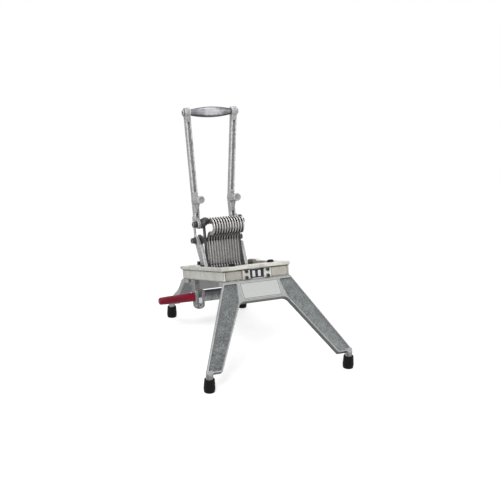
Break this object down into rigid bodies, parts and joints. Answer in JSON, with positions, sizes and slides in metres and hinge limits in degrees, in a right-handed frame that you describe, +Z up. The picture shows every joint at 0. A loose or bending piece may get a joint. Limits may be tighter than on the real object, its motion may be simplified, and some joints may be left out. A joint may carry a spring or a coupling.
{
  "type": "hand lever slicer",
  "caption": "Bench slicer with a sloping cast deck on splayed legs, a fixed blade comb, a swinging lever with hooked pusher tines and a side grip.",
  "frame": {"origin": "on the table, midway between the four feet", "axes": "+Z up; +X to the right as seen by the user; -Y towards the user, who stands at the name plate"},
  "size_m": [0.355, 0.4676, 0.5341],
  "materials": {
    "deck_casting": "machined and tumbled casting, light warm silver",
    "leg_casting": "sand casting with ground rims, mid grey faces",
    "lever_casting": "tumbled casting, light grey",
    "bare_plate": "satin plate left bare",
    "foot_rubber": "moulded black rubber",
    "blade_steel": "ground stainless strip with a honed edge",
    "tine_steel": "stainless strip, brushed",
    "dark_steel": "dark grey finished steel",
    "fastener_steel": "bright zinc plated fasteners",
    "bush_brass": "turned bearing bronze",
    "red_grip": "crimson dipped vinyl, slightly glossy"
  },
  "bodies": {
    "frame": {"deck_frame": "deck_casting", "front_leg_panel": "leg_casting", "rear_leg_panel": "leg_casting", "name_plate": "bare_plate", "front_left_foot": "foot_rubber", "front_right_foot": "foot_rubber", "rear_left_foot": "foot_rubber", "rear_right_foot": "foot_rubber", "leg_bolts": "fastener_steel", "left_bumper": "foot_rubber", "right_bumper": "foot_rubber", "slicing_blades": "blade_steel", "front_blade_bar": "dark_steel", "rear_blade_bar": "dark_steel", "tension_clamps": "blade_steel", "window_screws": "fastener_steel", "rear_bar_screws": "fastener_steel", "left_pivot_bush": "bush_brass", "right_pivot_bush": "bush_brass", "heel_pads": "foot_rubber", "left_hanger_clamp": "leg_casting", "right_hanger_clamp": "leg_casting", "hold_down_rod": "dark_steel", "hold_down_grip": "red_grip", "pinch_bolts": "fastener_steel", "hold_down_sleeve": "leg_casting", "clamp_pads": "blade_steel"},
    "lever": {"left_lever_arm": "lever_casting", "right_lever_arm": "lever_casting", "lever_grip": "lever_casting", "grip_screws": "fastener_steel", "left_end_plate": "dark_steel", "right_end_plate": "dark_steel", "pusher_tines": "tine_steel", "tine_spacers": "dark_steel", "pivot_spacers": "dark_steel", "pivot_shaft": "tine_steel", "thrust_collars": "fastener_steel", "top_rod": "tine_steel", "rear_tie_rod": "dark_steel", "upper_bolts": "fastener_steel", "lower_bolts": "fastener_steel", "bolt_washers": "dark_steel"}
  },
  "joints": [
    {"name": "lever_swing", "type": "hinge", "parent": "frame", "child": "lever", "pos_m": [0, 0.10315, 0.16072], "axis": [1, 0, 0], "range_deg": [0, 84]}
  ]
}
